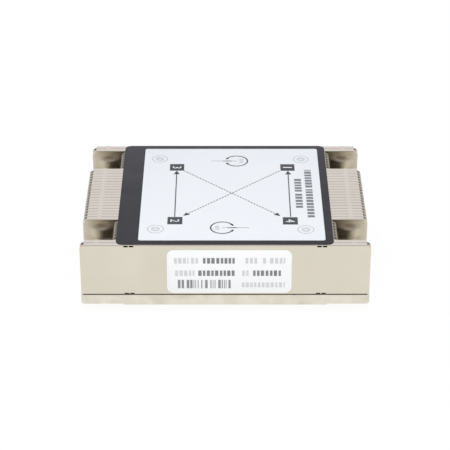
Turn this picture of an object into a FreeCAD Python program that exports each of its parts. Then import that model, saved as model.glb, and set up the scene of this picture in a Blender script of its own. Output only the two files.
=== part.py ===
import FreeCAD, Part
import math
import os

# Passive heatsink for the processor of a low server, held down by four captive spring screws.
# The origin is the middle of the contact land under the base. +Z is up, +X is to the right as
# seen from the front, and +Y runs from the front fin to the rear fin. All sizes are millimetres.

# Screw pattern of the processor socket
screw_spacing_x = 94.0
screw_spacing_y = 56.0

# Fin stack: rows of fins from the front to the middle, and the same from the rear
edge_rows = 2
pocket_rows = 7
middle_rows = 19
fin_height = 20.7
fin_sheet = 0.3
fin_seam = 0.05
fold_cut = 0.25
corner_drop = 1.3
corner_bow = 0.15
corner_at_fold = 0.35
corner_at_seam = 1.3
foot_cut = 0.5
pocket_reach = 5.8

# Locks between neighbouring fins: a prong on each top flange enters a notch in the next fin
lock_inset = 5.9
prong_root = 3.5
prong_tip = 2.7
prong_reach = 0.5
prong_clearance = 0.05

# Base plate
side_margin = 6.0
base_thickness = 4.0
base_edge_radius = 1.1
land_height = 0.4
land_clearance = 5.5

# Film and label on top, and the sticker on the front fin
film_thickness = 0.25
film_setback = 0.5
film_corner = 2.5
label_thickness = 0.1
label_left_inset = 7.9
label_right_inset = 3.2
label_end_inset = 2.7
label_corner = 1.0
sticker_width = 45.6
sticker_height = 18.0
sticker_offset = 1.5
sticker_lift = 1.0
sticker_corner = 2.5

# Captive screws: a head, a shank thinner than the thread, and the thread below the base
thread_radius = 2.0
thread_length = 3.3
shank_radius = 1.6
hole_clearance = 0.2
head_radius = 3.7
head_height = 3.4
head_below_top = 6.6
recess_points = 6
recess_outer_radius = 2.1
recess_inner_radius = 1.5
recess_depth = 1.7

# Retaining clips, pushed onto the shanks between the threads and the base
clip_thickness = 0.6
clip_radius = 4.0
clip_mouth = 3.0
clip_chords = 10
clip_clearance = 0.12
clip_gap = 0.05

# Compression springs between the base and the screw heads
spring_radius = 2.95
spring_wire = 0.9
spring_turns = 4.5
turn_steps = 7
wire_sides = 4
end_coil_ease = 0.5

# Places that follow from the sizes above
screw_x = screw_spacing_x / 2
screw_y = screw_spacing_y / 2
fin_pitch = screw_spacing_y / (middle_rows + pocket_rows)
fin_rows = 2 * edge_rows + 2 * pocket_rows + middle_rows
stack_depth = fin_rows * fin_pitch
front_y = -stack_depth / 2
rear_y = stack_depth / 2
full_half_width = screw_x + side_margin
short_half_width = screw_x - pocket_reach
flange_depth = fin_pitch - fin_seam
lock_x = short_half_width - lock_inset
base_bottom = land_height
base_top = base_bottom + base_thickness
land_half_width = screw_x - clip_radius - land_clearance
stack_top = base_top + fin_height
film_half_width = short_half_width - corner_at_seam
film_top = stack_top + film_thickness
clip_top = base_bottom - clip_gap
clip_bottom = clip_top - clip_thickness
thread_top = clip_bottom - clip_gap
thread_bottom = thread_top - thread_length
head_top = stack_top - head_below_top
head_bottom = head_top - head_height


def point(x, y, z):
    return FreeCAD.Vector(x, y, z)


# A point of a circle in the plane z = 0
def circle_point(x, y, radius, degrees):
    angle = math.radians(degrees)
    return point(x + radius * math.cos(angle), y + radius * math.sin(angle), 0)


# A box between two values on each axis
def block(x0, x1, y0, y1, z0, z1):
    return Part.makeBox(x1 - x0, y1 - y0, z1 - z0, point(x0, y0, z0))


# A flat outline with straight sides, pushed along a direction
def push(points, direction):
    return Part.Face(Part.makePolygon(points + points[:1])).extrude(direction)


def moved(shape, x, y, z):
    copy = shape.copy()
    copy.translate(point(x, y, z))
    return copy


# A sheet that lies on z = 0 is stood up over x and z, with its thickness towards the rear
def stood_up(sheet, thickness):
    standing = sheet.copy()
    standing.rotate(point(0, 0, 0), point(1, 0, 0), 90)
    return moved(standing, 0, thickness, 0)


# A sheet on z = 0 with rounded corners
def rounded_sheet(x0, x1, y0, y1, radius, thickness):
    corners = [
        (x1 - radius, y0 + radius, -90),
        (x1 - radius, y1 - radius, 0),
        (x0 + radius, y1 - radius, 90),
        (x0 + radius, y0 + radius, 180),
    ]
    edges = []
    last = point(x0 + radius, y0, 0)
    for x, y, start in corners:
        bend = [circle_point(x, y, radius, start + turn) for turn in (0, 45, 90)]
        edges.append(Part.makeLine(last, bend[0]))
        edges.append(Part.Arc(*bend).toShape())
        last = bend[2]
    return Part.Face(Part.Wire(edges)).extrude(point(0, 0, thickness))


# A fin's face seen from the front, on z = 0: two chords round each upper corner, cut feet
def fin_outline(half_width):
    middle_x = half_width - (corner_at_fold - corner_bow) / 2
    middle_z = fin_height - (corner_drop - corner_bow) / 2
    right = [
        (half_width - foot_cut, 0),
        (half_width, foot_cut),
        (half_width, fin_height - corner_drop),
        (middle_x, middle_z),
        (half_width - corner_at_fold, fin_height),
    ]
    points = [point(x, z, 0) for x, z in right]
    points += [point(-x, z, 0) for x, z in reversed(right)]
    return points


# A flat plate over z = 0 to 1 sheet, with its ends on slants from the fold to the seam
def flange_sheet(at_fold, at_seam):
    points = [
        point(-at_fold, 0, 0),
        point(at_fold, 0, 0),
        point(at_seam, flange_depth, 0),
        point(-at_seam, flange_depth, 0),
    ]
    return push(points, point(0, 0, fin_sheet))


# A prong on z = 0 that narrows from its root on y = 0 to its tip
def prong_sheet(x, root_width):
    points = [
        point(x - root_width / 2, 0, 0),
        point(x + root_width / 2, 0, 0),
        point(x + prong_tip / 2, prong_reach, 0),
        point(x - prong_tip / 2, prong_reach, 0),
    ]
    return push(points, point(0, 0, fin_sheet))


# The long corner that the fold takes off a fin's face, along x, at the top or the bottom
def fold_corner(z, way):
    half = full_half_width + 1
    points = [point(-half, 0, z), point(-half, fold_cut, z), point(-half, 0, z - way * fold_cut)]
    return push(points, point(2 * half, 0, 0))


# One folded fin, with its face on y = 0, its bottom on z = 0 and its flanges to the rear
def folded_fin(half_width):
    face = push(fin_outline(half_width), point(0, 0, fin_sheet))
    foot = half_width - foot_cut
    flange_z = fin_height - fin_sheet
    top = flange_sheet(half_width - corner_at_fold, half_width - corner_at_seam)
    fin = stood_up(face, fin_sheet)
    fin = fin.fuse([flange_sheet(foot, foot), moved(top, 0, 0, flange_z)])
    cuts = [fold_corner(0, -1), fold_corner(fin_height, 1)]
    prongs = []
    for x in (-lock_x, lock_x):
        prongs.append(moved(prong_sheet(x, prong_root), 0, flange_depth, flange_z))
        cuts.append(moved(prong_sheet(x, prong_root + 2 * prong_clearance), 0, 0, flange_z))
    return fin.cut(cuts).fuse(prongs).removeSplitter()


# The screws' places, from the front left round to the rear left
def screw_places():
    return [
        (-screw_x, -screw_y),
        (screw_x, -screw_y),
        (screw_x, screw_y),
        (-screw_x, screw_y),
    ]


# The base's section seen from the front, on z = 0: rounded lower edges and the contact land
def base_section():
    half = full_half_width
    radius = base_edge_radius
    land = land_half_width
    right = [circle_point(half - radius, base_bottom + radius, radius, a) for a in (0, -45, -90)]
    left = [circle_point(radius - half, base_bottom + radius, radius, a) for a in (-90, -135, 180)]
    corners = [
        right[2],
        point(land, base_bottom, 0),
        point(land, 0, 0),
        point(-land, 0, 0),
        point(-land, base_bottom, 0),
        left[0],
    ]
    upper = [left[2], point(-half, base_top, 0), point(half, base_top, 0), right[0]]
    edges = [Part.Arc(*right).toShape()]
    edges += Part.makePolygon(corners).Edges
    edges.append(Part.Arc(*left).toShape())
    edges += Part.makePolygon(upper).Edges
    return Part.Face(Part.Wire(edges))


def base_plate():
    plate = stood_up(base_section().extrude(point(0, 0, stack_depth)), stack_depth)
    plate = moved(plate, 0, front_y, 0)
    for x, y in screw_places():
        place = point(x, y, base_bottom)
        hole = Part.makeCylinder(thread_radius + hole_clearance, base_thickness, place)
        plate = plate.cut(hole)
    return plate


def top_film():
    half = film_half_width
    depth = (front_y + film_setback, rear_y - film_setback)
    sheet = rounded_sheet(-half, half, *depth, film_corner, film_thickness)
    return moved(sheet, 0, 0, stack_top)


def instruction_label():
    left = label_left_inset - film_half_width
    right = film_half_width - label_right_inset
    inset = film_setback + label_end_inset
    depth = (front_y + inset, rear_y - inset)
    sheet = rounded_sheet(left, right, *depth, label_corner, label_thickness)
    return moved(sheet, 0, 0, film_top)


def front_sticker():
    left = sticker_offset - sticker_width / 2
    right = sticker_offset + sticker_width / 2
    height = (sticker_lift, sticker_lift + sticker_height)
    sheet = rounded_sheet(left, right, *height, sticker_corner, label_thickness)
    return moved(stood_up(sheet, label_thickness), 0, front_y - label_thickness, base_top)


# The outline of a six-pointed driver's recess on z = 0, with straight sides
def recess_outline():
    points = []
    for corner in range(2 * recess_points):
        radius = recess_inner_radius if corner % 2 else recess_outer_radius
        points.append(circle_point(0, 0, radius, 180 * corner / recess_points))
    return points


# A turned screw about the origin's axis, with a star recess in its head
def captive_screw():
    section = [
        point(0, 0, thread_bottom),
        point(thread_radius, 0, thread_bottom),
        point(thread_radius, 0, thread_top),
        point(shank_radius, 0, thread_top),
        point(shank_radius, 0, head_bottom),
        point(head_radius, 0, head_bottom),
        point(head_radius, 0, head_top),
        point(0, 0, head_top),
    ]
    profile = Part.Face(Part.makePolygon(section + section[:1]))
    screw = profile.revolve(point(0, 0, 0), point(0, 0, 1), 360)
    recess = push(recess_outline(), point(0, 0, recess_depth))
    return screw.cut(moved(recess, 0, 0, head_top - recess_depth))


# An open ring with its mouth towards +X, in short chords
def retaining_clip():
    inner = shank_radius + clip_clearance
    points = []
    for radius, way in ((clip_radius, 1), (inner, -1)):
        start = math.degrees(math.asin(clip_mouth / 2 / radius))
        span = 360 - 2 * start
        for chord in range(clip_chords + 1):
            share = chord if way > 0 else clip_chords - chord
            points.append(circle_point(0, 0, radius, start + span * share / clip_chords))
    ring = push(points, point(0, 0, clip_thickness))
    return moved(ring, 0, 0, clip_bottom)


# Wire of a few flat sides along a helix of short steps, with its end coils closer together
def compression_spring():
    steps = round(spring_turns * turn_steps)
    low = base_top + spring_wire / 2
    rise = head_bottom - base_top - spring_wire
    path = []
    for step in range(steps + 1):
        share = step / steps
        ease = end_coil_ease * math.sin(2 * math.pi * share) / (2 * math.pi)
        station = circle_point(0, 0, spring_radius, 360 * step / turn_steps)
        path.append(station + point(0, 0, low + rise * (share - ease)))
    ring = []
    for side in range(wire_sides + 1):
        ring.append(circle_point(spring_radius, 0, spring_wire / 2, 360 * side / wire_sides))
    wire_section = Part.makePolygon(ring)
    wire_section.rotate(point(0, 0, 0), point(1, 0, 0), 90)
    wire_section.translate(point(0, 0, low))
    right_corners = 1
    return Part.makePolygon(path).makePipeShell([wire_section], True, False, right_corners)


# All pieces, each under its own name
def all_pieces():
    pieces = {"base_plate": base_plate()}
    full = folded_fin(full_half_width)
    short = folded_fin(short_half_width)
    for row in range(fin_rows):
        from_end = min(row, fin_rows - 1 - row)
        in_pocket = edge_rows <= from_end < edge_rows + pocket_rows
        shape = short if in_pocket else full
        pieces[f"fin_{row + 1:02d}"] = moved(shape, 0, front_y + row * fin_pitch, base_top)
    pieces["top_film"] = top_film()
    pieces["instruction_label"] = instruction_label()
    pieces["front_sticker"] = front_sticker()
    screw = captive_screw()
    spring = compression_spring()
    clip = retaining_clip()
    for number, (x, y) in enumerate(screw_places(), 1):
        pieces[f"captive_screw_{number}"] = moved(screw, x, y, 0)
        pieces[f"spring_{number}"] = moved(spring, x, y, 0)
        pieces[f"retaining_clip_{number}"] = moved(clip, x, y, 0)
    return pieces


os.makedirs("parts", exist_ok=True)
for name, shape in all_pieces().items():
    shape.exportStep(f"parts/{name}.step")
    print(f"{name}: {len(shape.Solids)} solid, {shape.Volume:.1f} cubic millimetres")
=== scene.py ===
import bmesh
import bpy
import math
import random
from mathutils import Matrix, Vector


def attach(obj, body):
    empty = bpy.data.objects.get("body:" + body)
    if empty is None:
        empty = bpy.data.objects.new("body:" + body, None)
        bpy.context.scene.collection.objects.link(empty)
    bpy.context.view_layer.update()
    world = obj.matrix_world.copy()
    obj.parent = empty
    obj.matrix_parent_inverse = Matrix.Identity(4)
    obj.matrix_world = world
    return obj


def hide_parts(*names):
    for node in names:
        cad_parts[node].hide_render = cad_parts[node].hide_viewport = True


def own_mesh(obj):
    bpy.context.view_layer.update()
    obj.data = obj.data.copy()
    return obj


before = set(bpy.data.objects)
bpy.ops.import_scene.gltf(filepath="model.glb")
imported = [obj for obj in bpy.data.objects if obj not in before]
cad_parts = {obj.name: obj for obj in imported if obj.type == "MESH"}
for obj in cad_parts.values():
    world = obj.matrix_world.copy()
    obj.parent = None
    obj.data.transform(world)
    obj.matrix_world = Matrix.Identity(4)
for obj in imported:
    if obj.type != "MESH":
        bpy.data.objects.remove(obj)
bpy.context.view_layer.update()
mm = 0.001

# Sizes are millimetres and become metres when a mesh is made. Only the floor's size, the lamps' sizes
# and places and the camera's clip are metres from the start.
stack = {
    "pitch": 56.0 / 26.0,
    "fins": 37,
    "edgeFins": 2,
    "pocketFins": 7,
    "bottom": 4.4,
    "height": 20.92,
    "fullHalf": 53.0,
    "shortHalf": 41.2,
}
stack["front"] = -stack["pitch"] * stack["fins"] / 2
stack["top"] = stack["bottom"] + stack["height"]
screwPlaces = [(-47.0, -28.0), (47.0, -28.0), (47.0, 28.0), (-47.0, 28.0)]


# Shader groups shared by the materials

def groupStart(name, inputs, outputs):
    group = bpy.data.node_groups.new(name, "ShaderNodeTree")
    for label, kind, value in inputs:
        socket = group.interface.new_socket(label, in_out="INPUT", socket_type=kind)
        socket.default_value = value
    for label, kind in outputs:
        group.interface.new_socket(label, in_out="OUTPUT", socket_type=kind)
    return group, group.nodes.new("NodeGroupInput"), group.nodes.new("NodeGroupOutput")


def addNode(tree, kind, values=None, links=None, **settings):
    node = tree.nodes.new(kind)
    for key, value in settings.items():
        setattr(node, key, value)
    for socket, value in (values or {}).items():
        node.inputs[socket].default_value = value
    for socket, source in (links or {}).items():
        tree.links.new(source, node.inputs[socket])
    return node


def makeStreakGroup():
    # long fine lines along one direction, as rolling and brushing leave them
    group, given, out = groupStart(
        "streaks",
        [("Vector", "NodeSocketVector", (0, 0, 0)), ("Fineness", "NodeSocketFloat", 9000.0),
         ("Length", "NodeSocketFloat", 0.02)],
        [("Value", "NodeSocketFloat")])
    along = addNode(group, "ShaderNodeCombineXYZ", {"Y": 1.0, "Z": 1.0}, {"X": given.outputs["Length"]})
    stretched = addNode(group, "ShaderNodeVectorMath",
                        links={0: given.outputs["Vector"], 1: along.outputs[0]}, operation="MULTIPLY")
    fine = addNode(group, "ShaderNodeTexNoise", {"Detail": 3.0, "Roughness": 0.6},
                   {"Vector": stretched.outputs[0], "Scale": given.outputs["Fineness"]})
    group.links.new(fine.outputs["Fac"], out.inputs["Value"])
    return group


def makeSmudgeGroup():
    # soft cloudy patches from handling, with finer mottling inside them
    group, given, out = groupStart(
        "smudges",
        [("Vector", "NodeSocketVector", (0, 0, 0)), ("Scale", "NodeSocketFloat", 60.0),
         ("Contrast", "NodeSocketFloat", 1.0)],
        [("Value", "NodeSocketFloat")])
    cloud = addNode(group, "ShaderNodeTexNoise", {"Detail": 5.0, "Roughness": 0.55, "Distortion": 0.4},
                    {"Vector": given.outputs["Vector"], "Scale": given.outputs["Scale"]})
    centred = addNode(group, "ShaderNodeMath", {1: 0.5}, {0: cloud.outputs["Fac"]}, operation="SUBTRACT")
    scaled = addNode(group, "ShaderNodeMath", {2: 0.5},
                     {0: centred.outputs[0], 1: given.outputs["Contrast"]},
                     operation="MULTIPLY_ADD", use_clamp=True)
    group.links.new(scaled.outputs[0], out.inputs["Value"])
    return group


streakGroup = makeStreakGroup()
smudgeGroup = makeSmudgeGroup()


def startMaterial(name):
    material = bpy.data.materials.new(name)
    material.use_nodes = True
    tree = material.node_tree
    shader = tree.nodes["Principled BSDF"]
    place = tree.nodes.new("ShaderNodeTexCoord").outputs["Object"]
    return material, tree, shader, place


def useGroup(tree, group, vector, **values):
    node = tree.nodes.new("ShaderNodeGroup")
    node.node_tree = group
    tree.links.new(vector, node.inputs["Vector"])
    for key, value in values.items():
        node.inputs[key].default_value = value
    return node.outputs["Value"]


def mixColours(tree, factor, first, second):
    node = tree.nodes.new("ShaderNodeMix")
    node.data_type = "RGBA"
    tree.links.new(factor, node.inputs["Factor"])
    for socket, value in (("A", first), ("B", second)):
        # a Mix node has several sockets of one name, one for each kind of value
        target = [s for s in node.inputs if s.name == socket and s.type == "RGBA"][0]
        if isinstance(value, tuple):
            target.default_value = (*value, 1.0)
        else:
            tree.links.new(value, target)
    return [s for s in node.outputs if s.type == "RGBA"][0]


def between(tree, value, low, high):
    node = addNode(tree, "ShaderNodeMapRange", {"To Min": low, "To Max": high}, {"Value": value})
    return node.outputs["Result"]


def addBump(tree, shader, look, height):
    bump = addNode(tree, "ShaderNodeBump", {"Strength": look["bump"], "Distance": look["bumpDepth"]},
                   {"Height": height})
    tree.links.new(bump.outputs[0], shader.inputs["Normal"])


def metalMaterial(name, look):
    material, tree, shader, place = startMaterial(name)
    lines = useGroup(tree, streakGroup, place, Fineness=look["grainFineness"], Length=look["grainLength"])
    marks = useGroup(tree, smudgeGroup, place, Scale=look["smudgeScale"], Contrast=look["smudgeContrast"])
    tone = mixColours(tree, marks, look["darkTone"], look["lightTone"])
    grained = mixColours(tree, between(tree, lines, 0.0, look["grainTint"]), tone, look["grainColour"])
    tree.links.new(grained, shader.inputs["Base Color"])
    shader.inputs["Metallic"].default_value = 1.0
    worn = between(tree, marks, look["roughHigh"], look["roughLow"])
    fine = between(tree, lines, -look["roughGrain"], look["roughGrain"])
    rough = addNode(tree, "ShaderNodeMath", links={0: worn, 1: fine}, operation="ADD", use_clamp=True)
    tree.links.new(rough.outputs[0], shader.inputs["Roughness"])
    addBump(tree, shader, look, lines)
    if "smear" in look:
        # rolled sheet draws its reflections out along the fin
        tangent = addNode(tree, "ShaderNodeTangent", direction_type="RADIAL", axis="X")
        tree.links.new(tangent.outputs[0], shader.inputs["Tangent"])
        shader.inputs["Anisotropic"].default_value = look["smear"]
        shader.inputs["Anisotropic Rotation"].default_value = look["smearTurn"]
    return material


def coatedMaterial(name, look):
    # film, paper and ink: no metal, with a little mottling and a fine surface
    material, tree, shader, place = startMaterial(name)
    marks = useGroup(tree, smudgeGroup, place, Scale=look["smudgeScale"], Contrast=look["smudgeContrast"])
    tone = mixColours(tree, marks, look["darkTone"], look["lightTone"])
    tree.links.new(tone, shader.inputs["Base Color"])
    tree.links.new(between(tree, marks, look["roughHigh"], look["roughLow"]), shader.inputs["Roughness"])
    shader.inputs["Specular IOR Level"].default_value = look["specular"]
    grain = addNode(tree, "ShaderNodeTexNoise", {"Scale": look["grainScale"], "Detail": 2.0},
                    {"Vector": place})
    addBump(tree, shader, look, grain.outputs["Fac"])
    return material


finLook = {
    "darkTone": (0.755, 0.701, 0.581),
    "lightTone": (0.828, 0.777, 0.654),
    "grainColour": (0.60, 0.54, 0.46),
    "grainTint": 0.10,
    "grainFineness": 7000.0,
    "grainLength": 0.02,
    "smudgeScale": 45.0,
    "smudgeContrast": 1.4,
    "roughLow": 0.16,
    "roughHigh": 0.23,
    "roughGrain": 0.03,
    "bump": 0.10,
    "bumpDepth": 0.00004,
}
smearedLook = dict(finLook, smear=0.9, smearTurn=0.25)
# painted shade: a far darker, duller tone of the fin plating for fin sides that face another fin and for the
# insides of folds, standing in for the shade between the fins
shadedInnerLook = dict(finLook, darkTone=(0.36, 0.33, 0.27), lightTone=(0.42, 0.39, 0.33), roughLow=0.22,
                 roughHigh=0.30)
baseLook = dict(finLook, darkTone=(0.765, 0.715, 0.597), lightTone=(0.955, 0.911, 0.788),
                grainFineness=5200.0, smudgeScale=120.0, smudgeContrast=2.2, roughLow=0.24, roughHigh=0.36,
                bump=0.16)
screwLook = dict(finLook, darkTone=(0.74, 0.69, 0.61), lightTone=(0.88, 0.84, 0.77), grainFineness=4000.0,
                 grainLength=0.2, smudgeScale=300.0, roughLow=0.22, roughHigh=0.34, bump=0.05)
springLook = dict(screwLook, darkTone=(0.76, 0.70, 0.60), lightTone=(0.90, 0.85, 0.76), roughLow=0.18,
                  roughHigh=0.30)
clipLook = dict(screwLook, darkTone=(0.10, 0.10, 0.105), lightTone=(0.17, 0.17, 0.175),
                grainColour=(0.08, 0.08, 0.09), roughLow=0.38, roughHigh=0.5)
filmLook = {
    "darkTone": (0.031, 0.031, 0.036),
    "lightTone": (0.043, 0.043, 0.049),
    "smudgeScale": 60.0,
    "smudgeContrast": 1.6,
    "roughLow": 0.42,
    "roughHigh": 0.55,
    "specular": 0.22,
    "grainScale": 5200.0,
    "bump": 0.12,
    "bumpDepth": 0.00003,
}
paperLook = dict(filmLook, darkTone=(0.835, 0.865, 0.90), lightTone=(0.87, 0.895, 0.925), smudgeContrast=1.0,
                 roughLow=0.34, roughHigh=0.42, bump=0.03)
stickerLook = dict(paperLook, darkTone=(0.93, 0.93, 0.93), lightTone=(0.965, 0.965, 0.965))
darkInkLook = dict(filmLook, darkTone=(0.060, 0.060, 0.066), lightTone=(0.085, 0.085, 0.092),
                   smudgeScale=400.0, bump=0.02)
lineInkLook = dict(darkInkLook, darkTone=(0.075, 0.075, 0.082), lightTone=(0.12, 0.12, 0.13))
paleInkLook = dict(darkInkLook, darkTone=(0.42, 0.43, 0.45), lightTone=(0.50, 0.51, 0.53))
barInkLook = dict(darkInkLook, darkTone=(0.22, 0.23, 0.24), lightTone=(0.31, 0.32, 0.33))
blockInkLook = dict(darkInkLook, darkTone=(0.19, 0.19, 0.20), lightTone=(0.27, 0.27, 0.28))
faintInkLook = dict(darkInkLook, darkTone=(0.60, 0.61, 0.62), lightTone=(0.70, 0.71, 0.72))
solderLook = dict(darkInkLook, darkTone=(0.05, 0.038, 0.028), lightTone=(0.12, 0.098, 0.076),
                  smudgeScale=260.0)

finMetal = metalMaterial("platedFinSheet", smearedLook)
# painted shade between the fins, on a darker copy of the fin plating
shadedInnerMetal = metalMaterial("paintedShadeInnerSheet", shadedInnerLook)
baseMetal = metalMaterial("platedBasePlate", baseLook)
screwMetal = metalMaterial("platedScrewSteel", screwLook)
springMetal = metalMaterial("brightSpringWire", springLook)
clipMetal = metalMaterial("phosphatedClipSteel", clipLook)
filmPlastic = coatedMaterial("darkTopFilm", filmLook)
labelPaper = coatedMaterial("coatedLabelPaper", paperLook)
stickerPaper = coatedMaterial("whiteStickerPaper", stickerLook)
darkInk = coatedMaterial("darkPrint", darkInkLook)
lineInk = coatedMaterial("linePrint", lineInkLook)
paleInk = coatedMaterial("palePrint", paleInkLook)
barInk = coatedMaterial("greyPrint", barInkLook)
blockInk = coatedMaterial("blockPrint", blockInkLook)
faintInk = coatedMaterial("faintPrint", faintInkLook)
solderDark = coatedMaterial("solderSeam", solderLook)
print("materials made")


# Mesh helpers

# places nearer to each other than this count as one, and verts nearer than the weld are joined
near = 0.01
weldGap = 0.0005
# angles in degrees: shading is smooth below the first, and edges above the second are bevelled
smoothBelow = 35.0
bevelAbove = 40.0
fullTurn = 360


def vertsOf(made):
    return [g for g in made if isinstance(g, bmesh.types.BMVert)]


def edgesOf(made):
    return [g for g in made if isinstance(g, bmesh.types.BMEdge)]


def shiftVerts(bm, verts, vector):
    bmesh.ops.translate(bm, verts=verts, vec=vector)


def turnVerts(bm, verts, degrees, axis):
    bmesh.ops.rotate(bm, verts=verts, cent=(0, 0, 0), matrix=Matrix.Rotation(math.radians(degrees), 3, axis))


def thicken(bm, faces, vector, keep=False):
    made = bmesh.ops.extrude_face_region(bm, geom=faces, use_keep_orig=keep)["geom"]
    shiftVerts(bm, vertsOf(made), vector)


def bevelEdges(bm, edges, width, segments=2):
    bmesh.ops.bevel(bm, geom=edges, affect="EDGES", offset=width, segments=segments, profile=0.5,
                    material=-1)


def bevelCorners(bm, verts, radius, segments):
    bmesh.ops.bevel(bm, geom=verts, affect="VERTICES", offset=radius, segments=segments, profile=0.5,
                    material=-1)


def sweepRound(bm, geom, centre, axis, degrees, steps, climb=0.0, closed=False):
    # the start is swept round the axis through the centre, rising along Z with each step
    return bmesh.ops.spin(bm, geom=geom, cent=centre, axis=axis, dvec=(0, 0, climb),
                          angle=math.radians(degrees), steps=steps, use_merge=closed,
                          use_duplicate=False)["geom_last"]


def smoothShade(mesh, degrees=smoothBelow):
    mesh.shade_smooth()
    mesh.set_sharp_from_angle(angle=math.radians(degrees))


def finishMesh(bm, name, material, smoothAngle=smoothBelow):
    bmesh.ops.remove_doubles(bm, verts=bm.verts, dist=weldGap)
    bmesh.ops.recalc_face_normals(bm, faces=bm.faces)
    bmesh.ops.scale(bm, vec=(mm, mm, mm), verts=bm.verts)
    mesh = bpy.data.meshes.new(name)
    bm.to_mesh(mesh)
    bm.free()
    smoothShade(mesh, smoothAngle)
    mesh.materials.append(material)
    return mesh


def placeMesh(mesh, name, body, replaced=()):
    piece = bpy.data.objects.new(name, mesh)
    bpy.context.scene.collection.objects.link(piece)
    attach(piece, body)
    if replaced:
        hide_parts(*replaced)
    return piece


def shiftedCopy(mesh, name, shift, tilt=0.0, turn=0.0):
    # the copy is tilted about X and turned about Z through its own middle, in degrees
    copy = mesh.copy()
    copy.name = name
    middle = sum((v.co for v in mesh.vertices), Vector()) / len(mesh.vertices)
    leaning = Matrix.Rotation(math.radians(tilt), 4, "X") @ Matrix.Rotation(math.radians(turn), 4, "Z")
    copy.transform(Matrix.Translation(Vector(shift) * mm + middle) @ leaning @ Matrix.Translation(-middle))
    return copy


def cutMesh(mesh, cutter, name):
    # the first mesh less the second, both in metres
    body = bpy.data.objects.new("cutBody", mesh)
    tool = bpy.data.objects.new("cutTool", cutter)
    for piece in (body, tool):
        bpy.context.scene.collection.objects.link(piece)
    cut = body.modifiers.new("cut", "BOOLEAN")
    cut.operation = "DIFFERENCE"
    cut.solver = "EXACT"
    cut.object = tool
    bpy.context.view_layer.update()
    result = bpy.data.meshes.new_from_object(body.evaluated_get(bpy.context.evaluated_depsgraph_get()))
    result.name = name
    bpy.data.objects.remove(body)
    bpy.data.objects.remove(tool)
    return result


def extrudeEdges(bm, edges, vector):
    made = bmesh.ops.extrude_edge_only(bm, edges=edges)["geom"]
    shiftVerts(bm, vertsOf(made), vector)
    return edgesOf(made)


def flatArc(bm, x, y, inner, outer, start, sweep, steps):
    # a flat ring, or a part of one from the start and over the sweep, in degrees
    turn = math.radians(start)
    ends = [bm.verts.new((x + r * math.cos(turn), y + r * math.sin(turn), 0)) for r in (inner, outer)]
    sweepRound(bm, [*ends, bm.edges.new(ends)], (x, y, 0), (0, 0, 1), sweep, steps,
               closed=sweep >= fullTurn)


def layFlat(bm, level, turnUp):
    # left flat at its height, or stood up with its upper side to the front
    if turnUp:
        turnVerts(bm, bm.verts, 90, "X")
    shiftVerts(bm, bm.verts, (0, level, 0) if turnUp else (0, 0, level))


# Folded fins

fin = {
    "sheet": 0.24,
    "bend": 0.27,
    "bendSteps": 3,
    "gap": 0.27,
    "corner": 1.45,
    "cornerSteps": 6,
    "lipDepth": 0.74,
    "shortLip": 0.42,
    "lipTaper": 0.1,
    "foot": 0.5,
    "footGap": 0.02,
    "footRadius": 0.2,
    "lockX": 35.2,
    "slotWidth": 1.62,
    "slotBridge": 0.4,
    "slotDrop": 0.78,
    "tongueWidth": 1.3,
    "tongueReach": 0.42,
    "pointX": 47.0,
    "pointHalf": 1.0,
    "pointReach": 0.45,
    "smoothBelow": 40.0,
    "innerDepth": 0.288,
    "facing": 0.95,
    "facingFold": 0.5,
}
fin["depth"] = stack["pitch"] - fin["gap"]
# how far a fin may stray from its exact place, in millimetres and in degrees
stray = {"along": 0.024, "depth": 0.012, "height": 0.012, "tilt": 0.05, "turn": 0.015}


def columnPlaces(half):
    # where a fin has a column of verts: its locks, its points, its corners and its ends
    lock = fin["lockX"]
    inner, outer = fin["slotBridge"] / 2, fin["slotBridge"] / 2 + fin["slotWidth"]
    middle = (inner + outer) / 2
    wide = fin["tongueWidth"] / 2
    right = [lock + side * s for side in (-1, 1) for s in (inner, middle - wide, middle + wide, outer)]
    if half > fin["pointX"]:
        right += [fin["pointX"] + s for s in (-fin["pointHalf"], 0, fin["pointHalf"])]
    right += [half - fin["corner"], half - fin["foot"] - fin["footGap"], half]
    return sorted(side * x for x in right for side in (-1, 1))


def fromLock(x):
    return abs(abs(x) - fin["lockX"])


def inSlot(x):
    return fin["slotBridge"] / 2 < fromLock(x) < fin["slotBridge"] / 2 + fin["slotWidth"]


def middleX(edge):
    return (edge.verts[0].co.x + edge.verts[1].co.x) / 2


def foldOver(bm, edges, centreZ, degrees):
    verts = list({v for e in edges for v in e.verts})
    return edgesOf(sweepRound(bm, edges + verts, (0, fin["bend"], centreZ), (1, 0, 0), degrees,
                              fin["bendSteps"]))


def addTongues(bm, rear):
    slotMiddle = (fin["slotBridge"] + fin["slotWidth"]) / 2
    tongues = [e for e in rear if abs(fromLock(middleX(e)) - slotMiddle) < fin["tongueWidth"] / 2]
    extrudeEdges(bm, tongues, (0, fin["tongueReach"], 0))


def roundCorners(bm, half, lipDepth):
    # the fold and the front of the flange go on round each upper corner as a narrow lip
    centreX, centreZ = half - fin["corner"], stack["height"] - fin["corner"]
    for side in (-1, 1):
        ends = [v for v in bm.verts if abs(v.co.x - side * centreX) < near and v.co.z > centreZ - near
                and v.co.y < lipDepth + near]
        chain = list({e for v in ends for e in v.link_edges if e.other_vert(v) in ends})
        before = set(bm.verts)
        sweepRound(bm, ends + chain, (side * centreX, 0, centreZ), (0, side, 0), 90, fin["cornerSteps"])
        for v in set(bm.verts) - before:
            if v.co.y > lipDepth - near:
                v.co.y -= fin["lipTaper"] * (abs(v.co.x) - centreX) / fin["corner"]


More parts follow.
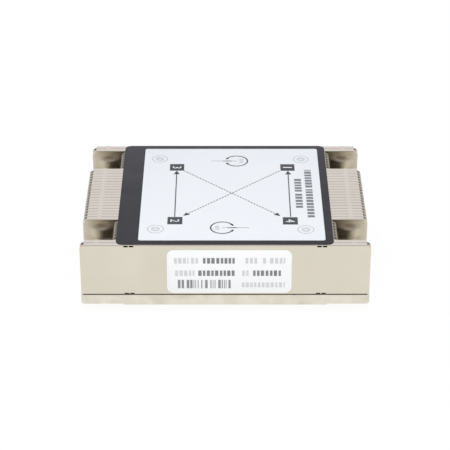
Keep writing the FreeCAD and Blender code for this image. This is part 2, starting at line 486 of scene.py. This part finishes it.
def foldedFin(half, name):
    # the outer skin, as one strip: the face first, then each bend and flange, then the thickness
    bend, high, depth, drop = fin["bend"], stack["height"], fin["depth"], fin["slotDrop"]
    isFull = half > fin["pointX"]
    lipDepth = fin["lipDepth"] if isFull else fin["shortLip"]
    bm = bmesh.new()
    row = [bm.verts.new((x, 0, bend)) for x in columnPlaces(half)]
    first = [bm.edges.new(pair) for pair in zip(row, row[1:])]
    low = extrudeEdges(bm, first, (0, 0, drop - bend))
    shoulder = extrudeEdges(bm, low, (0, 0, high - fin["corner"] - drop))
    inner = [e for e in shoulder if abs(middleX(e)) < half - fin["corner"]]
    under = extrudeEdges(bm, inner, (0, 0, fin["corner"] - drop))
    tall = extrudeEdges(bm, under, (0, 0, drop - bend))
    lip = foldOver(bm, tall, high - bend, -90)
    middle = extrudeEdges(bm, lip, (0, lipDepth - bend, 0))
    rear = extrudeEdges(bm, middle, (0, depth - lipDepth, 0))
    addTongues(bm, rear)
    if isFull:
        for v in {v for e in rear for v in e.verts}:
            if abs(abs(v.co.x) - fin["pointX"]) < near:
                v.co.y += fin["pointReach"]
    roundCorners(bm, half, lipDepth)
    folded = [e for e in first if abs(middleX(e)) < half - fin["foot"]]
    foot = foldOver(bm, folded, bend, 90)
    addTongues(bm, extrudeEdges(bm, foot, (0, depth - bend, 0)))
    gone = []
    for face in bm.faces:
        centre = face.calc_center_median()
        if centre.y < bend and not drop < centre.z < high - drop and inSlot(centre.x):
            gone.append(face)
    bmesh.ops.delete(bm, geom=gone, context="FACES")
    bmesh.ops.remove_doubles(bm, verts=bm.verts, dist=weldGap)
    for v in [v for v in bm.verts if abs(abs(v.co.x) - half) < near and v.co.z < high / 3]:
        bevelCorners(bm, [v], fin["footRadius"], 2)
    bmesh.ops.recalc_face_normals(bm, faces=bm.faces)
    front = min(bm.faces, key=lambda f: abs(f.calc_center_median().z - high / 2))
    if front.normal.y > 0:
        bmesh.ops.reverse_faces(bm, faces=bm.faces)
    bmesh.ops.solidify(bm, geom=bm.faces[:] + bm.edges[:] + bm.verts[:], thickness=fin["sheet"])
    return finishMesh(bm, name, finMetal, fin["smoothBelow"])


def paintShadeOnInnerSides(mesh, front, back):
    # a side that faces another fin gets the darker metal of painted shade, and so does the inside of its
    # folds, where the shade between the fins falls
    mesh.materials.append(shadedInnerMetal)
    for face in mesh.polygons:
        normal, inward = face.normal, stack["height"] / 2 * mm - face.center.z
        onFace = face.center.y < fin["innerDepth"] * mm
        underFold = not onFace and normal.z * inward > fin["facingFold"] * abs(inward)
        shadedAhead = onFace and normal.y < -fin["facing"]
        shadedBehind = underFold or (onFace and normal.y > fin["facing"])
        if (front and shadedAhead) or (back and shadedBehind):
            face.material_index = 1
    return mesh


def isShort(index):
    fromEnd = min(index, stack["fins"] - 1 - index)
    return stack["edgeFins"] <= fromEnd < stack["edgeFins"] + stack["pocketFins"]


def finFor(index):
    # a short fin, or a full one with painted shade only where another full fin stands ahead or behind
    if isShort(index):
        return shortFin
    ahead = index > 0 and not isShort(index - 1)
    behind = index < stack["fins"] - 1 and not isShort(index + 1)
    return fullFins[ahead, behind]


def strayed(amount):
    return finDraw.uniform(-amount, amount)


def placeFin(index):
    isEnd = index in (0, stack["fins"] - 1)
    along = strayed(stray["along"])
    back = 0 if isEnd else strayed(stray["depth"])
    drop = finDraw.uniform(0, stray["height"])
    tilt = strayed(stray["tilt"])
    turn = 0 if isEnd else strayed(stray["turn"])
    place = (along, stack["front"] + index * stack["pitch"] + back, stack["bottom"] - drop)
    number = f"{index + 1:02d}"
    sheet = shiftedCopy(finFor(index), f"finSheet{number}", place, tilt, turn)
    placeMesh(sheet, f"finSheet_{number}", "base", [f"fin_{number}"])


finDraw = random.Random(37)
# painted shade goes on the fin sides that face other fins and on the insides of the folds
shortFin = paintShadeOnInnerSides(foldedFin(stack["shortHalf"], "shortFin"), True, True)
fullFins = {(ahead, behind): paintShadeOnInnerSides(foldedFin(stack["fullHalf"], "fullFin"), ahead, behind)
            for ahead in (False, True) for behind in (False, True)}
for index in range(stack["fins"]):
    placeFin(index)
print("fins made")


# Base plate

base = {
    "half": 53.15,
    "bottom": 0.4,
    "top": 4.4,
    "landHalf": 37.5,
    "lowerRadius": 1.1,
    "lowerSteps": 6,
    "edge": 0.12,
    "holeRadius": 2.2,
    "holeOver": 1.0,
    "holeSides": 40,
    "sinkRadius": 2.55,
    "sinkHeight": 0.4,
    "sinkOver": 0.05,
}
solder = {"half": 52.4, "depth": 0.3, "height": 0.6, "lift": 0.1, "edge": 0.04}


def holeTool():
    # the holes of the four screws, with a small countersink at either end
    hole, sunk = base["holeRadius"], base["sinkRadius"]
    low, high, over = base["bottom"], base["top"], base["holeOver"]
    rise, past = base["sinkHeight"], base["sinkOver"]
    cones = ((low - over, hole, hole, high - low + 2 * over), (low - past, sunk, hole, rise),
             (high + past - rise, hole, sunk, rise))
    bm = bmesh.new()
    for x, y in screwPlaces:
        for z, lower, upper, tall in cones:
            middle = Matrix.Translation((x, y, z + tall / 2))
            bmesh.ops.create_cone(bm, cap_ends=True, segments=base["holeSides"], radius1=lower,
                                  radius2=upper, depth=tall, matrix=middle)
    bmesh.ops.scale(bm, vec=(mm, mm, mm), verts=bm.verts)
    tool = bpy.data.meshes.new("holeTool")
    bm.to_mesh(tool)
    bm.free()
    return tool


def basePlate():
    half, low, high, land = base["half"], base["bottom"], base["top"], base["landHalf"]
    bm = bmesh.new()
    outline = [(-half, low), (-land, low), (-land, 0), (land, 0), (land, low), (half, low), (half, high),
               (-half, high)]
    section = bm.faces.new([bm.verts.new((x, stack["front"], z)) for x, z in outline])
    thicken(bm, [section], (0, stack["pitch"] * stack["fins"], 0))
    lower = [e for e in bm.edges
             if all(abs(abs(v.co.x) - half) < near and abs(v.co.z - low) < near for v in e.verts)]
    bevelEdges(bm, lower, base["lowerRadius"], base["lowerSteps"])
    bmesh.ops.recalc_face_normals(bm, faces=bm.faces)
    crisp = [e for e in bm.edges if e.calc_face_angle(0) > math.radians(bevelAbove)]
    bevelEdges(bm, crisp, base["edge"])
    plate = cutMesh(finishMesh(bm, "plateBlank", baseMetal), holeTool(), "basePlate")
    smoothShade(plate)
    return plate


def solderSeam():
    # a thin dark line of solder in the groove between the base and the outer fins
    bm = bmesh.new()
    for side in (-1, 1):
        made = bmesh.ops.create_cube(bm, size=1.0)["verts"]
        bmesh.ops.scale(bm, vec=(2 * solder["half"], solder["depth"], solder["height"]), verts=made)
        edges = list({e for v in made for e in v.link_edges})
        ahead = side * (stack["front"] + solder["depth"] / 2)
        shiftVerts(bm, made, (0, ahead, stack["bottom"] + solder["lift"]))
        bevelEdges(bm, edges, solder["edge"])
    return finishMesh(bm, "solderSeam", solderDark)


placeMesh(basePlate(), "basePlateMachined", "base", ["base_plate"])
placeMesh(solderSeam(), "solderSeam", "base")
print("base plate made")


# Film, label and sticker

film = {"left": -39.9, "right": 39.6, "setback": 0.5, "shift": 0.2, "thickness": 0.25, "radius": 2.5,
        "edge": 0.06}
label = {"left": -31.8, "right": 36.6, "endInset": 2.7, "thickness": 0.1, "radius": 1.0, "edge": 0.03}
sticker = {"left": -21.3, "right": 24.3, "low": 5.15, "high": 23.4, "thickness": 0.1, "radius": 2.5,
           "edge": 0.03}
sheetCornerSteps = 10
filmFront = stack["front"] + film["setback"]
labelFront = filmFront + label["endInset"]
filmTop = stack["top"] + film["thickness"]
labelTop = filmTop + label["thickness"]


def roundedSheet(name, material, sheet, low, high, level, turnUp=False):
    # a sheet with round corners and a bevelled rim, from low to high along Y or, turned up, along Z
    left, right = sheet["left"], sheet["right"]
    bm = bmesh.new()
    bmesh.ops.create_grid(bm, x_segments=1, y_segments=1, size=0.5)
    bmesh.ops.scale(bm, vec=(right - left, high - low, 1), verts=bm.verts)
    shiftVerts(bm, bm.verts, ((left + right) / 2, (low + high) / 2, 0))
    bevelCorners(bm, bm.verts[:], sheet["radius"], sheetCornerSteps)
    thicken(bm, bm.faces[:], (0, 0, sheet["thickness"]))
    bmesh.ops.recalc_face_normals(bm, faces=bm.faces)
    rim = [e for e in bm.edges if all(v.co.z > sheet["thickness"] / 2 for v in e.verts)
           and e.calc_face_angle(0) > math.radians(bevelAbove)]
    bevelEdges(bm, rim, sheet["edge"])
    layFlat(bm, level, turnUp)
    return finishMesh(bm, name, material)


filmSheet = roundedSheet("topFilmSheet", filmPlastic, film, filmFront + film["shift"],
                         film["shift"] - filmFront, stack["top"])
paper = roundedSheet("instructionPaper", labelPaper, label, labelFront, -labelFront, filmTop)
frontPaper = roundedSheet("stickerPaper", stickerPaper, sticker, sticker["low"], sticker["high"],
                          stack["front"], turnUp=True)
placeMesh(filmSheet, "topFilmSheet", "base", ["top_film"])
placeMesh(paper, "instructionPaper", "base", ["instruction_label"])
placeMesh(frontPaper, "stickerPaper", "base", ["front_sticker"])
print("film and labels made")


# Print on the label: plain shapes a few hundredths thick

ink = {"thickness": 0.03, "sunk": 0.01}


def inkBar(bm, x0, y0, x1, y1, width):
    # a straight bar from one point to another
    start, end = Vector((x0, y0, 0)), Vector((x1, y1, 0))
    along = end - start
    made = bmesh.ops.create_grid(bm, x_segments=1, y_segments=1, size=0.5)["verts"]
    bmesh.ops.scale(bm, vec=(along.length, width, 1), verts=made)
    turnVerts(bm, made, math.degrees(math.atan2(along.y, along.x)), "Z")
    shiftVerts(bm, made, (start + end) / 2)


def inkHead(bm, x, y, degrees, length, width):
    # an arrow head with its tip at the point
    corners = ((0, 0, 0), (-width / 2, -length, 0), (width / 2, -length, 0))
    made = [bm.verts.new(corner) for corner in corners]
    bm.faces.new(made)
    turnVerts(bm, made, degrees - 90, "Z")
    shiftVerts(bm, made, (x, y, 0))


def inkArc(bm, x, y, radius, width, start, sweep, steps):
    flatArc(bm, x, y, radius - width / 2, radius + width / 2, start, sweep, steps)


def inkDashes(bm, x0, y0, x1, y1, width, dash, gap):
    start, end = Vector((x0, y0)), Vector((x1, y1))
    length = (end - start).length
    way = (end - start) / length
    done = 0.0
    while done + dash < length:
        a, b = start + way * done, start + way * (done + dash)
        inkBar(bm, a.x, a.y, b.x, b.y, width)
        done += dash + gap


def inkPiece(bm, name, material, level, turnUp=False):
    bmesh.ops.recalc_face_normals(bm, faces=bm.faces)
    flipped = [f for f in bm.faces if f.normal.z < 0]
    if flipped:
        bmesh.ops.reverse_faces(bm, faces=flipped)
    thicken(bm, bm.faces[:], (0, 0, ink["thickness"]), keep=True)
    layFlat(bm, level + ink["sunk"] if turnUp else level - ink["sunk"], turnUp)
    placeMesh(finishMesh(bm, name, material), name, "base")


# Places are measured from a line a little ahead of the stack. Arrows run from tail to tip, and words
# hold their place across and their two ends along.
labelArt = {
    "forward": 0.15,
    "squares": {"3": (-18.87, 60.66), "1": (24.4, 60.5), "2": (-18.7, 17.94), "4": (24.17, 17.75)},
    "squareSize": 5.55,
    "numeralSize": 4.8,
    "numeralBold": {"1": 0.1, "2": 0.0, "3": 0.0, "4": 0.02},
    "circles": [(-25.8, 67.9), (29.9, 67.5), (-25.7, 11.6), (29.65, 11.2)],
    "circleWidth": 0.26,
    "circleRadius": 2.92,
    "circleSides": 40,
    "innerRadius": 1.42,
    "paintShadeOnInnerSides": 24,
    "lobes": 6,
    "lobeReach": 0.62,
    "lobeRadius": 0.3,
    "lobeWidth": 0.2,
    "lobeSweep": 200,
    "lobeSteps": 8,
    "solidArrows": [(-18.85, 20.9, -18.9, 57.9), (24.4, 20.9, 24.5, 57.7)],
    "solidWidth": 0.42,
    "solidHead": (3.0, 2.4),
    "solidShort": 2.5,
    "dashedArrows": [(21.2, 57.5, -15.7, 21.6), (-16.05, 57.8, 20.6, 21.4)],
    "dashedWidth": 0.41,
    "dashedHead": (2.5, 2.2),
    "dash": (0.95, 0.5),
    "words": [(32.1, 20.4, 42.5), (32.1, 43.9, 58.4), (28.0, 27.8, 39.2), (28.0, 40.6, 51.4)],
    "wordHeight": 2.65,
    "wordBlock": (1.4, 1.85),
    "wordGap": (0.6, 0.75),
    "wordLeast": 0.6,
}
# the two turning arrows: an open ring with two heads, a line that leads in, and three short lines
turning = {
    "rear": (4.5, 66.05),
    "front": (-1.1, 12.6),
    "radius": 4.3,
    "width": 0.55,
    "steps": 36,
    "opening": 20,
    "head": (1.5, 1.2),
    "headAt": 18,
    "headLean": 80,
    "leadReach": 10.0,
    "leadWidth": 0.42,
    "block": (5.4, 2.0),
    "blockWidth": 0.5,
    "short": (1.1, 2.7),
    "shortWidth": 0.45,
    "shortApart": 1.1,
}
frontY = stack["front"] - labelArt["forward"]


def boltIcon(bm, x, y):
    # two rings with the outline of a lobed recess in them
    art = labelArt
    rings = ((art["circleRadius"], art["circleSides"]), (art["innerRadius"], art["paintShadeOnInnerSides"]))
    for radius, sides in rings:
        inkArc(bm, x, y, radius, art["circleWidth"], 0, fullTurn, sides)
    for lobe in range(art["lobes"]):
        degrees = fullTurn / art["lobes"] * lobe
        turn = math.radians(degrees)
        inkArc(bm, x + art["lobeReach"] * math.cos(turn), y + art["lobeReach"] * math.sin(turn),
               art["lobeRadius"], art["lobeWidth"], degrees - art["lobeSweep"] / 2, art["lobeSweep"],
               art["lobeSteps"])


def turnIcon(dark, pale, grey, x, y, way):
    radius, apart = turning["radius"], turning["shortApart"]
    middle = 180 if way > 0 else 0
    inkArc(dark, x, y, radius, turning["width"], middle + turning["opening"],
           fullTurn - 2 * turning["opening"], turning["steps"])
    for side in (-1, 1):
        degrees = middle + side * turning["headAt"]
        turn = math.radians(degrees)
        inkHead(dark, x + radius * math.cos(turn), y + radius * math.sin(turn),
                degrees - side * turning["headLean"], *turning["head"])
    inkBar(pale, x - way * turning["leadReach"], y, x, y, turning["leadWidth"])
    far, close = turning["block"]
    inkBar(grey, x - way * far, y, x - way * close, y, turning["blockWidth"])
    start, end = turning["short"]
    for step in (-1, 0, 1):
        level = y + apart * step
        inkBar(pale, x + way * start, level, x + way * end, level, turning["shortWidth"])


def labelPrint():
    art = labelArt
    dark, lines, pale, grey = bmesh.new(), bmesh.new(), bmesh.new(), bmesh.new()
    half = art["squareSize"] / 2
    for x, y in art["squares"].values():
        inkBar(dark, x - half, y + frontY, x + half, y + frontY, art["squareSize"])
    for x0, y0, x1, y1 in art["solidArrows"]:
        inkBar(lines, x0, y0 + frontY, x1, y1 - art["solidShort"] + frontY, art["solidWidth"])
        inkHead(dark, x1, y1 + frontY, 90, *art["solidHead"])
    for x0, y0, x1, y1 in art["dashedArrows"]:
        inkDashes(lines, x0, y0 + frontY, x1, y1 + frontY, art["dashedWidth"], *art["dash"])
        inkHead(dark, x1, y1 + frontY, math.degrees(math.atan2(y1 - y0, x1 - x0)), *art["dashedHead"])
    for x, y in art["circles"]:
        boltIcon(pale, x, y + frontY)
    draw = random.Random(5)
    for x, y0, y1 in art["words"]:
        y = y0
        while y < y1 - art["wordLeast"]:
            tall = min(draw.uniform(*art["wordBlock"]), y1 - y)
            inkBar(grey, x, y + frontY, x, y + tall + frontY, art["wordHeight"])
            y += tall + draw.uniform(*art["wordGap"])
    for (x, y), way in ((turning["rear"], 1), (turning["front"], -1)):
        turnIcon(dark, pale, grey, x, y + frontY, way)
    inkPiece(dark, "labelPrintDark", darkInk, labelTop)
    inkPiece(lines, "labelPrintLines", lineInk, labelTop)
    inkPiece(pale, "labelPrintPale", paleInk, labelTop)
    inkPiece(grey, "labelPrintGrey", blockInk, labelTop)


def numeralMesh(text, size, x, y, level):
    curve = bpy.data.curves.new("numeral", "FONT")
    curve.body = text
    curve.size = size
    curve.align_x = "CENTER"
    curve.align_y = "CENTER"
    curve.offset = labelArt["numeralBold"][text]
    curve.extrude = ink["thickness"] / 2
    holder = bpy.data.objects.new("numeral", curve)
    bpy.context.scene.collection.objects.link(holder)
    bpy.context.view_layer.update()
    bm = bmesh.new()
    shape = holder.evaluated_get(bpy.context.evaluated_depsgraph_get())
    bm.from_mesh(bpy.data.meshes.new_from_object(shape))
    bpy.data.objects.remove(holder)
    across, along = [v.co.x for v in bm.verts], [v.co.y for v in bm.verts]
    shiftVerts(bm, bm.verts, (-(min(across) + max(across)) / 2, -(min(along) + max(along)) / 2, 0))
    turnVerts(bm, bm.verts, -90, "Z")
    shiftVerts(bm, bm.verts, (x, y, level))
    return finishMesh(bm, f"labelNumeral{text}", labelPaper)


labelPrint()
for numeral, (x, y) in labelArt["squares"].items():
    placeMesh(numeralMesh(numeral, labelArt["numeralSize"], x, y + frontY, labelTop + ink["thickness"]),
              f"labelNumeral{numeral}", "base")
print("label print made")


# Print on the front sticker: rows of plain short blocks and a row of upright bars

stickerArt = {
    "words": [(-18.7, -13.4, "upper", "pale"), (-12.5, -9.2, "upper", "pale"), (-8.1, 4.2, "upper", "dark"),
              (7.4, 12.3, "upper", "pale"), (13.8, 15.5, "upper", "pale"), (16.3, 21.9, "upper", "pale"),
              (-18.4, -11.3, "middle", "pale"), (-9.9, 3.8, "middle", "dark"), (6.2, 8.8, "middle", "pale"),
              (10.2, 21.3, "middle", "dark"), (6.1, 21.9, "lower", "pale")],
    "rows": {"upper": (17.75, 20.1), "middle": (12.5, 14.8), "lower": (7.6, 9.7)},
    "block": (0.85, 1.25),
    "gap": (0.42, 0.6),
    "blockLeast": 0.4,
    "bars": (-17.4, 1.9, 7.2, 10.8),
    "barWidths": (0.25, 0.3, 0.4, 0.85, 0.95),
    "barGaps": (0.35, 0.45, 0.7, 1.0),
}


def blockRow(bm, draw, x0, x1, low, high):
    x = x0
    while x < x1 - stickerArt["blockLeast"]:
        wide = min(draw.uniform(*stickerArt["block"]), x1 - x)
        inkBar(bm, x + wide / 2, low, x + wide / 2, high, wide)
        x += wide + draw.uniform(*stickerArt["gap"])


def stickerPrint():
    inks = {"dark": bmesh.new(), "pale": bmesh.new()}
    draw = random.Random(11)
    for x0, x1, row, tone in stickerArt["words"]:
        blockRow(inks[tone], draw, x0, x1, *stickerArt["rows"][row])
    bars = bmesh.new()
    x, right, low, high = stickerArt["bars"]
    while x < right:
        wide = draw.choice(stickerArt["barWidths"])
        inkBar(bars, x + wide / 2, low, x + wide / 2, high, wide)
        x += wide + draw.choice(stickerArt["barGaps"])
    level = stack["front"] - sticker["thickness"]
    inkPiece(inks["dark"], "stickerPrintDark", blockInk, level, turnUp=True)
    inkPiece(inks["pale"], "stickerPrintPale", faintInk, level, turnUp=True)
    inkPiece(bars, "stickerPrintBars", barInk, level, turnUp=True)


stickerPrint()
print("sticker print made")


# Captive screws, springs and clips

screw = {
    "threadRadius": 2.0,
    "rootRadius": 1.62,
    "threadLow": -3.6,
    "threadTop": -0.3,
    "threadInset": 0.02,
    "pitch": 0.7,
    "threadTurns": 3.9,
    "turnSteps": 28,
    "threadStart": 0.35,
    "ridgeSunk": 0.12,
    "ridgeRootHalf": 0.3,
    "ridgeTipHalf": 0.05,
    "tipRadius": 1.15,
    "tipHeight": 0.45,
    "runOut": 0.1,
    "shankRadius": 1.6,
    "headLow": 15.1,
    "headTop": 18.5,
    "headRadius": 3.7,
    "lowerEdge": 0.15,
    "upperEdge": 0.4,
    "upperRound": 0.12,
    "sides": 64,
    "recessDepth": 1.7,
    "recessOuter": 2.1,
    "recessInner": 1.5,
    "recessLobes": 6,
    "recessSides": 72,
    "recessOver": 1.0,
    "press": 3.5,
}


def screwBlank():
    # tip, core of the thread, shank and head, turned round the axis
    low, high, top = screw["threadLow"], screw["threadTop"], screw["headTop"]
    core, shank = screw["rootRadius"] - screw["threadInset"], screw["shankRadius"]
    head, seat = screw["headRadius"], screw["headLow"]
    lower, upper, bulge = screw["lowerEdge"], screw["upperEdge"], screw["upperRound"]
    profile = [(0, low), (screw["tipRadius"], low), (core, low + screw["tipHeight"]),
               (core, high - screw["runOut"]), (shank, high), (shank, seat), (head - lower, seat),
               (head, seat + lower), (head, top - upper), (head - bulge, top - bulge), (head - upper, top),
               (0, top)]
    bm = bmesh.new()
    verts = [bm.verts.new((r, 0, z)) for r, z in profile]
    edges = [bm.edges.new(pair) for pair in zip(verts, verts[1:])]
    sweepRound(bm, verts + edges, (0, 0, 0), (0, 0, 1), fullTurn, screw["sides"], closed=True)
    return finishMesh(bm, "screwBlank", screwMetal)


def recessTool():
    # a prism whose outline swings in and out once for each point of the driver
    outer, inner = screw["recessOuter"], screw["recessInner"]
    bm = bmesh.new()
    ring = bmesh.ops.create_circle(bm, cap_ends=True, segments=screw["recessSides"], radius=1.0)["verts"]
    for v in ring:
        swing = math.cos(screw["recessLobes"] * math.atan2(v.co.y, v.co.x))
        v.co *= (outer + inner) / 2 + (outer - inner) / 2 * swing
    thicken(bm, bm.faces[:], (0, 0, screw["recessDepth"] + screw["recessOver"]))
    shiftVerts(bm, bm.verts, (0, 0, screw["headTop"] - screw["recessDepth"]))
    return finishMesh(bm, "recessTool", screwMetal)


def screwMesh():
    bm = bmesh.new()
    bm.from_mesh(cutMesh(screwBlank(), recessTool(), "screwCut"))
    bmesh.ops.scale(bm, vec=(1 / mm,) * 3, verts=bm.verts)
    # the thread's ridge, wound up from below with its root inside the core
    low = screw["threadLow"] + screw["threadStart"]
    root, tip = screw["rootRadius"] - screw["ridgeSunk"], screw["threadRadius"] - screw["threadInset"]
    rootHalf, tipHalf = screw["ridgeRootHalf"], screw["ridgeTipHalf"]
    section = [(root, -rootHalf), (tip, -tipHalf), (tip, tipHalf), (root, rootHalf)]
    ridge = [bm.verts.new((r, 0, low + z)) for r, z in section]
    loop = [bm.edges.new(pair) for pair in zip(ridge, ridge[1:] + ridge[:1])]
    bm.faces.new(ridge)
    steps = round(screw["threadTurns"] * screw["turnSteps"])
    last = sweepRound(bm, ridge + loop, (0, 0, 0), (0, 0, 1), fullTurn * screw["threadTurns"], steps,
                      screw["pitch"] / screw["turnSteps"])
    bm.faces.new(vertsOf(last))
    return finishMesh(bm, "captiveScrew", screwMetal)


spring = {"radius": 2.95, "wire": 0.45, "low": 4.85, "high": 14.65, "sides": 12, "turnSteps": 30,
          "endTurns": 1.0, "endRise": 0.96, "middleTurns": 2.5, "smoothBelow": 60.0}


def springMesh():
    # one close turn at either end, and open turns between them
    s = spring
    bm = bmesh.new()
    verts = bmesh.ops.create_circle(bm, cap_ends=True, segments=s["sides"], radius=s["wire"])["verts"]
    turnVerts(bm, verts, 90, "X")
    shiftVerts(bm, verts, (s["radius"], 0, s["low"]))
    closeTurns = (s["endTurns"], s["endRise"])
    openTurns = (s["middleTurns"], s["high"] - s["low"] - 2 * s["endRise"])
    section = [*verts, *{e for v in verts for e in v.link_edges}]
    for turns, rise in (closeTurns, openTurns, closeTurns):
        steps = round(turns * s["turnSteps"])
        last = sweepRound(bm, section, (0, 0, 0), (0, 0, 1), fullTurn * turns, steps, rise / steps)
        section = vertsOf(last) + edgesOf(last)
    bmesh.ops.contextual_create(bm, geom=edgesOf(section))
    return finishMesh(bm, "compressionSpring", springMetal, s["smoothBelow"])


clip = {"inner": 1.72, "groove": 2.6, "outer": 4.0, "low": -0.25, "thickness": 0.6, "mouth": 22.0,
        "fingerInset": 12.0, "fingerSweep": 30.0, "stepDegrees": 6.0}


def clipMesh():
    # an open ring with three fingers that reach in to the shank
    c = clip
    first, wide = c["mouth"] + c["fingerInset"], c["fingerSweep"]
    arcs = [(c["groove"], c["outer"], c["mouth"], fullTurn - 2 * c["mouth"])]
    for start in (first, (fullTurn - wide) / 2, fullTurn - first - wide):
        arcs.append((c["inner"], c["groove"], start, wide))
    bm = bmesh.new()
    for inner, outer, start, sweep in arcs:
        flatArc(bm, 0, 0, inner, outer, start, sweep, round(sweep / c["stepDegrees"]))
    bmesh.ops.remove_doubles(bm, verts=bm.verts, dist=near)
    thicken(bm, bm.faces[:], (0, 0, c["thickness"]), keep=True)
    shiftVerts(bm, bm.verts, (0, 0, c["low"]))
    return finishMesh(bm, "retainingClip", clipMetal)


screwShape, springShape, clipShape = screwMesh(), springMesh(), clipMesh()
for number, (x, y) in enumerate(screwPlaces, 1):
    placeMesh(shiftedCopy(screwShape, f"captiveScrew{number}", (x, y, 0)), f"captiveScrew_{number}",
              f"screw_{number}", [f"captive_screw_{number}"])
    placeMesh(shiftedCopy(clipShape, f"retainingClip{number}", (x, y, 0)), f"retainingRing_{number}",
              f"clip_{number}", [f"retaining_clip_{number}"])
    coil = placeMesh(shiftedCopy(springShape, f"compressionSpring{number}", (x, y, 0)),
                     f"compressionSpring_{number}", "base", [f"spring_{number}"])
    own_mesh(coil)
print("screws, springs and clips made")


# Camera, floor and light

camera = {
    "pitch": 0.5138288,
    "yaw": 0.0002829,
    "focal": 1772.633,
    "place": (-0.2515, -596.162, 347.829),
    "pixels": 450,
    "sensor": 36.0,
    "clip": (0.01, 20.0),
}
light = {
    "soft": 0.72,
    "air": (0.97, 0.98, 1.0),
    "white": (1, 1, 1),
    "studioInMetal": (0.85, 0.836, 0.92),
    "roomFrom": 0.1,
    "roomTo": -0.75,
    "roomLevel": 0.42,
}
floor = {
    "halfSize": 3.0,
    "matt": (0.86, 0.86, 0.86),
    "faint": (0.12, 0.12, 0.12),
    "inMetal": (0.89, 0.89, 0.89),
    "glow": 0.90,
}
lamps = {
    "overheadSoftbox": {"place": (-0.25, -0.15, 0.95), "size": (0.9, 0.7), "power": 2.2},
    "frontSoftbox": {"place": (0.35, -1.2, 0.75), "size": (1.6, 1.0), "power": 6.2},
}


def placeCamera():
    data = bpy.data.cameras.new("photoCamera")
    data.sensor_fit = "HORIZONTAL"
    data.sensor_width = camera["sensor"]
    data.lens = camera["focal"] / camera["pixels"] * camera["sensor"]
    data.clip_start, data.clip_end = camera["clip"]
    holder = bpy.data.objects.new("photoCamera", data)
    holder.location = [v * mm for v in camera["place"]]
    holder.rotation_euler = (math.radians(90) - camera["pitch"], 0, -camera["yaw"])
    bpy.context.scene.collection.objects.link(holder)
    bpy.context.scene.camera = holder


def byRay(tree, path, ray, other, seen):
    # one kind of ray meets the seen shader, and every other ray the other one
    return addNode(tree, "ShaderNodeMixShader",
                   links={0: path.outputs[ray], 1: other.outputs[0], 2: seen.outputs[0]})


def floorMaterial():
    material = bpy.data.materials.new("paleFloor")
    material.use_nodes = True
    tree = material.node_tree
    tree.nodes.clear()
    matt = addNode(tree, "ShaderNodeBsdfDiffuse", {"Color": (*floor["matt"], 1)})
    faint = addNode(tree, "ShaderNodeBsdfDiffuse", {"Color": (*floor["faint"], 1)})
    glow = addNode(tree, "ShaderNodeEmission", {"Color": (*light["white"], 1), "Strength": floor["glow"]})
    inMetal = addNode(tree, "ShaderNodeEmission",
                      {"Color": (*floor["inMetal"], 1), "Strength": floor["glow"]})
    path = tree.nodes.new("ShaderNodeLightPath")
    result = matt
    for ray, shine in (("Is Camera Ray", glow), ("Is Glossy Ray", inMetal)):
        both = addNode(tree, "ShaderNodeAddShader", links={0: faint.outputs[0], 1: shine.outputs[0]})
        result = byRay(tree, path, ray, result, both)
    out = tree.nodes.new("ShaderNodeOutputMaterial")
    tree.links.new(result.outputs[0], out.inputs["Surface"])
    return material


def placeFloor():
    bm = bmesh.new()
    bmesh.ops.create_grid(bm, x_segments=1, y_segments=1, size=floor["halfSize"])
    shiftVerts(bm, bm.verts, (0, 0, screw["threadLow"] * mm))
    mesh = bpy.data.meshes.new("floor")
    bm.to_mesh(mesh)
    bm.free()
    mesh.materials.append(floorMaterial())
    holder = bpy.data.objects.new("floor", mesh)
    bpy.context.scene.collection.objects.link(holder)


def placeWorld():
    world = bpy.data.worlds.new("studio")
    bpy.context.scene.world = world
    world.use_nodes = True
    tree = world.node_tree
    tree.nodes.clear()
    path = tree.nodes.new("ShaderNodeLightPath")
    # metal sees a pale studio, and a dimmer room on the side that the camera stands on
    coordinates = tree.nodes.new("ShaderNodeTexCoord")
    way = addNode(tree, "ShaderNodeSeparateXYZ", links={0: coordinates.outputs["Generated"]})
    dim = addNode(tree, "ShaderNodeMapRange", {"From Min": light["roomFrom"], "From Max": light["roomTo"],
                                               "To Min": 1.0, "To Max": light["roomLevel"]},
                  {"Value": way.outputs["Y"]})
    result = addNode(tree, "ShaderNodeBackground", {"Color": (*light["air"], 1), "Strength": light["soft"]})
    studio = addNode(tree, "ShaderNodeBackground", {"Color": (*light["studioInMetal"], 1)},
                     {"Strength": dim.outputs[0]})
    white = addNode(tree, "ShaderNodeBackground", {"Color": (*light["white"], 1), "Strength": 1.0})
    for ray, seen in (("Is Glossy Ray", studio), ("Is Camera Ray", white), ("Is Transmission Ray", white)):
        result = byRay(tree, path, ray, result, seen)
    out = tree.nodes.new("ShaderNodeOutputWorld")
    tree.links.new(result.outputs[0], out.inputs["Surface"])


def placeLamp(name, place, size, power):
    # a rectangle of light that points to the middle of the frame
    data = bpy.data.lights.new(name, "AREA")
    data.shape = "RECTANGLE"
    data.size, data.size_y = size
    data.energy = power
    holder = bpy.data.objects.new(name, data)
    holder.location = place
    holder.rotation_euler = (-Vector(place)).to_track_quat("-Z", "Y").to_euler()
    holder.visible_glossy = False
    bpy.context.scene.collection.objects.link(holder)


placeCamera()
placeFloor()
placeWorld()
for name, lamp in lamps.items():
    placeLamp(name, **lamp)
bpy.context.scene.view_settings.view_transform = "Standard"
print("camera and light placed")
